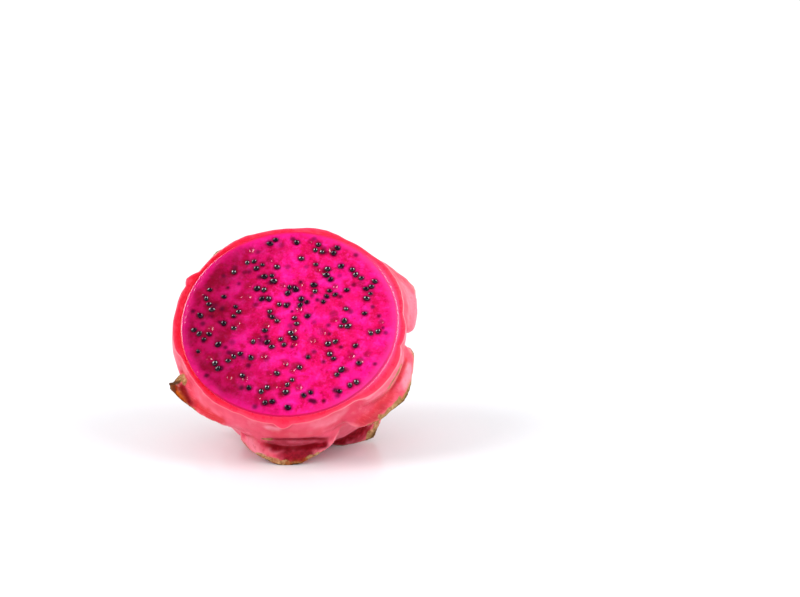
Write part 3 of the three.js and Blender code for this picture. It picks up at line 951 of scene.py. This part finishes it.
def rindMaterial():
    material, tree, shader = newMaterial("rindSkin")
    place = addNode(tree, "TexCoord").outputs["Object"]
    toRight = addNode(tree, "SeparateXYZ", Vector=place).outputs["X"]
    broad = noiseAt(tree, place, 70, 3, 0.5)
    patches = noiseAt(tree, place, 130, 2, 0.5)
    middle = noiseAt(tree, place, 240, 4, 0.55)
    fine = noiseAt(tree, place, 900, 4, 0.6)
    blade, dry, cut, ringTone, hollow, deepRedAndShade, fold = [
        attribute(tree, name) for name in ("blade", "dry", "cut", "ringTone", "hollow", "deepRedAndShade", "fold")]
    # veins run from the foot of a scale to its tip
    veinPlace = combine(tree, product(tree, attribute(tree, "across"), 4), product(tree, blade, 0.5),
                        attribute(tree, "scaleNumber"))
    veins = noiseAt(tree, veinPlace, 6, 3, 0.6)
    onBlade = ranged(tree, blade, 0.02, 0.25)

    skin = mixColour(tree, ranged(tree, broad, 0.35, 0.65), (232, 58, 92), (250, 92, 124))
    # painted shade: redder in the hollows under the scales and on their undersides, over the deeper red the
    # fruit has there; paler on their backs
    skin = paint(tree, skin, [
        (ranged(tree, middle, 0.48, 0.78, 0, 0.45), (255, 142, 164)),
        (ranged(tree, middle, 0.45, 0.25, 0, 0.35), (222, 40, 70)),
        (ranged(tree, hollow, -0.05, -0.4, 0, 0.5), (255, 148, 164)),
        # painted shade in the hollows, measured from the skin's own shape
        (ranged(tree, hollow, 0.04, 0.45, 0, 0.9), (204, 10, 36)),
        (product(tree, attribute(tree, "inner"), 0.55), (220, 40, 54)),
        # painted highlight where the skin catches the light
        (attribute(tree, "paintedHighlight"), (255, 160, 180)),
        (attribute(tree, "flush"), (222, 26, 44)),
        (product(tree, ranged(tree, veins, 0.5, 0.72), onBlade, 0.4), (196, 20, 48)),
        (product(tree, ranged(tree, veins, 0.5, 0.3), onBlade, 0.3), (255, 120, 132)),
    ])
    # warmer towards a lip, olive by its tip, then yellow-brown at its dry edge, wider here than there
    ragged = calculate(tree, "SUBTRACT", attribute(tree, "lipDistance"), product(tree, dry, 1.4))
    for pattern, amount in ((middle, 2.6), (fine, 1.6), (patches, 4)):
        ragged = wobble(tree, ragged, pattern, amount)
    onLip = product(tree, calculate(tree, "MINIMUM", dry, 1), ranged(tree, blade, 0.35, 0.8),
                    ranged(tree, attribute(tree, "fresh"), 0, 0.6, 1, 0))
    warm = product(tree, ranged(tree, ragged, 3.0, 0.4), onLip, 0.6)
    olive = product(tree, ranged(tree, ragged, 4.2, 0.6), onLip, ranged(tree, blade, 0.7, 1), 0.6)
    dried = product(tree, ranged(tree, ragged, 1.0, 0.3), onLip)
    speckled = wobble(tree, wobble(tree, attribute(tree, "sere"), middle, 0.8), fine, 0.5)
    sere = calculate(tree, "MAXIMUM", dried, ranged(tree, speckled, 0.15, 0.7))
    edge = product(tree, ranged(tree, ragged, 0.1, -0.5), onLip, 0.7)
    brown = calculate(tree, "MAXIMUM", edge, attribute(tree, "brown"))
    straw = mixColour(tree, ranged(tree, fine, 0.34, 0.66), (142, 102, 58), (210, 172, 118))
    straw = paint(tree, straw, [
        (ranged(tree, middle, 0.5, 0.7, 0, 0.5), (216, 132, 104)),
        (ranged(tree, patches, 0.44, 0.6, 0, 0.65), (142, 126, 62)),
    ])
    skin = paint(tree, skin, [
        (warm, (226, 110, 84)),
        (olive, (178, 140, 72)),
        # painted shade, over the dark red under the scales
        (deepRedAndShade, mixColour(tree, ranged(tree, fine, 0.4, 0.65), (118, 0, 14), (160, 10, 34))),
        (product(tree, sere, 0.92), straw),
        (attribute(tree, "amber"),
         mixColour(tree, ranged(tree, middle, 0.4, 0.6), (146, 38, 2), (200, 92, 6))),
        # painted shade in the creases of the folds
        (fold, (120, 0, 14)),
        (brown, mixColour(tree, fine, (50, 18, 10), (104, 66, 34))),
        (attribute(tree, "scar"), mixColour(tree, fine, (96, 66, 34), straw)),
    ])
    # the cut rind: pinker towards the skin, bright red by the flesh and on the left
    cutColour = mixColour(tree, ranged(tree, ringTone, 0.05, 0.6), (246, 58, 92), (244, 34, 72))
    reddest = mixColour(tree, ranged(tree, ringTone, 0.0, 0.5), (222, 40, 74), (222, 6, 42))
    pinker = product(tree, ranged(tree, toRight, 0.014, 0.042), ranged(tree, ringTone, 0.3, 1))
    cutColour = paint(tree, cutColour, [
        (ranged(tree, toRight, -0.012, -0.034), reddest),
        (pinker, (242, 78, 138)),
        (ranged(tree, middle, 0.5, 0.75, 0, 0.35), (252, 80, 114)),
    ])
    # painted highlight: a pale line along the outer edge of the cut, strongest on the right
    edgeHighlight = product(tree, ranged(tree, cut, 0.1, 0.4), ranged(tree, cut, 1.0, 0.7),
                       ranged(tree, toRight, 0.004, 0.028, 0.06, 0.5))
    colour = paint(tree, skin, [(ranged(tree, cut, 0.3, 0.95), cutColour), (edgeHighlight, (255, 164, 178))])

    # dry and dark places are dull
    dull = calculate(tree, "MAXIMUM", calculate(tree, "MAXIMUM", sere, fold), deepRedAndShade)
    rough = ranged(tree, middle, 0.3, 0.7, 0.32, 0.46)
    rough = calculate(tree, "ADD", rough, product(tree, dull, 0.3))
    rough = calculate(tree, "SUBTRACT", rough, product(tree, cut, 0.08))
    grain = calculate(tree, "MULTIPLY_ADD", sere, 2.5, 0.35)
    normal = bump(tree, middle, 0.35, 0.0004)
    normal = bump(tree, product(tree, veins, onBlade), 0.6, 0.0003, normal)
    setInputs(tree, shader, {
        "Base Color": colour,
        "Roughness": rough,
        "Specular IOR Level": ranged(tree, dull, 0.2, 0.9, 0.24, 0.06),
        "Subsurface Weight": 0.2,
        "Subsurface Radius": (1.0, 0.25, 0.2),
        "Subsurface Scale": 0.002,
        "Normal": bump(tree, product(tree, fine, grain), 0.5, 0.0002, normal),
    })
    return material


def fleshMaterial():
    material, tree, shader = newMaterial("fleshWet")
    place = addNode(tree, "TexCoord").outputs["Object"]
    # the fruit's own frame, with the middle of the face at its origin
    own = addNode(tree, "Mapping", vector_type="TEXTURE", Vector=place,
                  Location=tuple(c * mm for c in fruit["facePlace"]),
                  Rotation=(math.radians(fruit["faceTilt"]), 0, 0))
    parts = addNode(tree, "SeparateXYZ", Vector=own.outputs["Vector"])
    x, y = parts.outputs["X"], parts.outputs["Y"]
    length = addNode(tree, "VectorMath", operation="LENGTH")
    tree.links.new(combine(tree, x, y, 0), length.inputs[0])
    radius = length.outputs["Value"]
    blotch = noiseAt(tree, place, 85, 3, 0.55)
    stain = noiseAt(tree, place, 190, 3, 0.6)
    mottle = noiseAt(tree, place, 320, 4, 0.6, 0.3)
    fine = noiseAt(tree, place, 1300, 3, 0.6)

    # darker and more crimson on the left and by the rind, paler and more violet by it on the right
    leftward = calculate(tree, "SUBTRACT", x, product(tree, radius, 0.3))
    leftward = calculate(tree, "ADD", leftward, product(tree, y, 0.05))
    leftward = ranged(tree, wobble(tree, leftward, blotch, 0.03), -0.004, -0.042, 0, 0.92)
    byRind = ranged(tree, radius, 0.0372, 0.0408)
    # its outermost millimetre is already as red as the rind, but on the left
    inset = calculate(tree, "ADD", radius, ranged(tree, x, -0.02, -0.034, 0.0001, -0.0006))
    inset = wobble(tree, inset, mottle, 0.0006)
    line = product(tree, ranged(tree, inset, 0.0403, 0.0408), ranged(tree, inset, 0.0414, 0.0409), 0.6)
    base = mixColour(tree, ranged(tree, blotch, 0.36, 0.64), (230, 5, 98), (255, 12, 140))
    base = paint(tree, base, [
        (ranged(tree, stain, 0.5, 0.64, 0, 0.8), (206, 0, 62)),
        (ranged(tree, stain, 0.45, 0.32, 0, 0.7), (248, 36, 168)),
        (ranged(tree, mottle, 0.52, 0.7, 0, 0.7), (255, 30, 160)),
        (ranged(tree, mottle, 0.46, 0.28, 0, 0.85), (188, 0, 58)),
        (ranged(tree, fine, 0.5, 0.7, 0, 0.4), (255, 34, 160)),
        (ranged(tree, fine, 0.48, 0.3, 0, 0.3), (192, 0, 80)),
        (leftward, mixColour(tree, ranged(tree, stain, 0.38, 0.6), (172, 2, 72), (126, 0, 34))),
        (product(tree, byRind, 0.45), (250, 24, 140)),
        (product(tree, byRind, ranged(tree, x, 0.002, 0.03), 0.7), (234, 56, 150)),
        # painted shade round the seeds, with the crimson of torn flesh and of the pits
        (product(tree, attribute(tree, "tornAndShaded"), 0.72), (158, 0, 44)),
        # dark violet over buried seeds, and painted shade close round the seeds in sight
        (product(tree, attribute(tree, "coveredAndShaded"), 0.92), (64, 0, 34)),
        (ranged(tree, inset, 0.0401, 0.0411),
         mixColour(tree, ranged(tree, x, 0.005, 0.036), (232, 26, 84), (244, 60, 124))),
        (product(tree, line, ranged(tree, y, 0.0, -0.03)), (170, 0, 56)),
    ])
    setInputs(tree, shader, {
        "Base Color": base,
        "Roughness": ranged(tree, mottle, 0.3, 0.7, 0.12, 0.24),
        "Specular IOR Level": 0.38,
        "Subsurface Weight": 0.2,
        "Subsurface Radius": (1.0, 0.1, 0.4),
        "Subsurface Scale": 0.0015,
        "Normal": bump(tree, fine, 0.35, 0.00012, bump(tree, mottle, 0.3, 0.0004)),
    })
    return material


def seedMaterial():
    material, tree, shader = newMaterial("seedBlack")
    place = addNode(tree, "TexCoord").outputs["Object"]
    tone = noiseAt(tree, place, 900, 2, 0.5)
    # some are glossier than others
    wet = noiseAt(tree, place, 190, 1, 0.5)
    setInputs(tree, shader, {
        "Base Color": mixColour(tree, tone, (12, 2, 14), (34, 7, 32)),
        "Roughness": ranged(tree, tone, 0.3, 0.7, 0.14, 0.26),
        "Specular IOR Level": ranged(tree, wet, 0.38, 0.6, 0.1, 0.34),
        "Coat Weight": ranged(tree, wet, 0.38, 0.6, 0.05, 0.5),
        "Coat Roughness": 0.08,
    })
    return material


# ---- build the pieces
def finishPiece(obj, material, cadNode):
    obj.data.materials.clear()
    obj.data.materials.append(material)
    obj.data.polygons.foreach_set("use_smooth", np.ones(len(obj.data.polygons), dtype=bool))
    placeFruit(obj)
    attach(obj, "root")
    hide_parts(cadNode)
    obj.data.calc_loop_triangles()
    print(f"{obj.name}: done, {len(obj.data.loop_triangles)} triangles")


def addHollow(obj):
    # how far each point of the skin lies below what surrounds it, in mm: hollows up, ridges down; the skin's
    # colour paints shade into the hollows from it
    co = points(obj)
    mean = neighbourMean(obj, co, rind["hollowRounds"])
    writeAttribute(obj, "hollow", ((mean - co) * pointNormals(obj)).sum(axis=1))


rindPiece = makeRind()
rindPiece.name = "rindSkin"
addHollow(rindPiece)
finishPiece(rindPiece, rindMaterial(), "rind")

draw = seededDraw(seeds["drawStart"])
seedPlaces = drawSeeds(draw)
lostSeeds = drawSpots(draw, seeds["lost"], seeds["fieldRadius"])
buriedSeeds = drawSpots(draw, seeds["buried"], seeds["fieldRadius"] + 1)
finishPiece(makeFlesh(seedPlaces, lostSeeds, buriedSeeds), fleshMaterial(), "flesh")
finishPiece(makeSeeds(seedPlaces), seedMaterial(), "flesh")

# ---- floor and light
studio = {
    "floorSize": 30,
    "worldStrength": 0.9,
    "mirroredLow": 1.05,
    "mirroredAbove": 0.05,  # what a wet surface mirrors of the dark ceiling
    "seenDirectly": 0.16,  # added where the room itself is in view, so that it is as white as the floor
    "sunSpread": 34,
    "leftSun": {"from": (-0.74, -0.26, 0.62), "power": 1.7},
    "rightSun": {"from": (0.74, -0.24, 0.63), "power": 1.3},
    "lampGlow": 17,
    "lampEdge": (0.91, 0.95),  # cosines, over which a lamp fades in
    "lamps": [(-0.72, 0.26, 0.64), (0.72, 0.28, 0.64)],  # mirrored as a glint on each side of a seed
}


def addFloor():
    bpy.ops.mesh.primitive_plane_add(size=studio["floorSize"])
    floor = bpy.context.object
    floor.name = "floor"
    material, tree, shader = newMaterial("paleFloor")
    setInputs(tree, shader, {"Base Color": (0.83, 0.85, 0.88, 1), "Roughness": 0.22,
                             "Specular IOR Level": 0.4})
    floor.data.materials.append(material)


def addSun(name):
    # wide, like a soft box, and not itself mirrored
    bpy.ops.object.light_add(type="SUN", location=(0, 0, 1))
    light = bpy.context.object
    light.name = name
    light.visible_glossy = False
    light.data.angle = math.radians(studio["sunSpread"])
    light.data.energy = studio[name]["power"]
    light.rotation_euler = (-Vector(studio[name]["from"])).to_track_quat("-Z", "Y").to_euler()


def addStudio():
    world = bpy.data.worlds.new("studio")
    bpy.context.scene.world = world
    world.use_nodes = True
    tree = world.node_tree
    background = tree.nodes["Background"]
    rays = addNode(tree, "LightPath")
    direct = product(tree, rays.outputs["Is Camera Ray"], studio["seenDirectly"])
    setInputs(tree, background, {"Color": (1, 1, 1, 1),
                                 "Strength": calculate(tree, "ADD", direct, studio["worldStrength"])})
    # mirrored, the room is white low down all round and its ceiling is dark, so wet surfaces keep
    # their colour
    direction = addNode(tree, "TexCoord").outputs["Generated"]
    up = addNode(tree, "SeparateXYZ", Vector=direction).outputs["Z"]
    strength = ranged(tree, up, 0.25, 0.65, studio["mirroredLow"], studio["mirroredAbove"])
    for lamp in studio["lamps"]:
        towards = addNode(tree, "VectorMath", operation="DOT_PRODUCT")
        feed(tree, towards.inputs[0], direction)
        feed(tree, towards.inputs[1], tuple(Vector(lamp).normalized()))
        glint = ranged(tree, towards.outputs["Value"], *studio["lampEdge"], 0, studio["lampGlow"])
        strength = calculate(tree, "ADD", strength, glint)
    mirrored = addNode(tree, "Background", Strength=strength)
    mix = addNode(tree, "MixShader", Fac=rays.outputs["Is Glossy Ray"])
    tree.links.new(background.outputs["Background"], mix.inputs[1])
    tree.links.new(mirrored.outputs["Background"], mix.inputs[2])
    tree.links.new(mix.outputs["Shader"], tree.nodes["World Output"].inputs["Surface"])
    addSun("leftSun")
    addSun("rightSun")
    bpy.context.scene.view_settings.view_transform = "Standard"


addFloor()
addStudio()
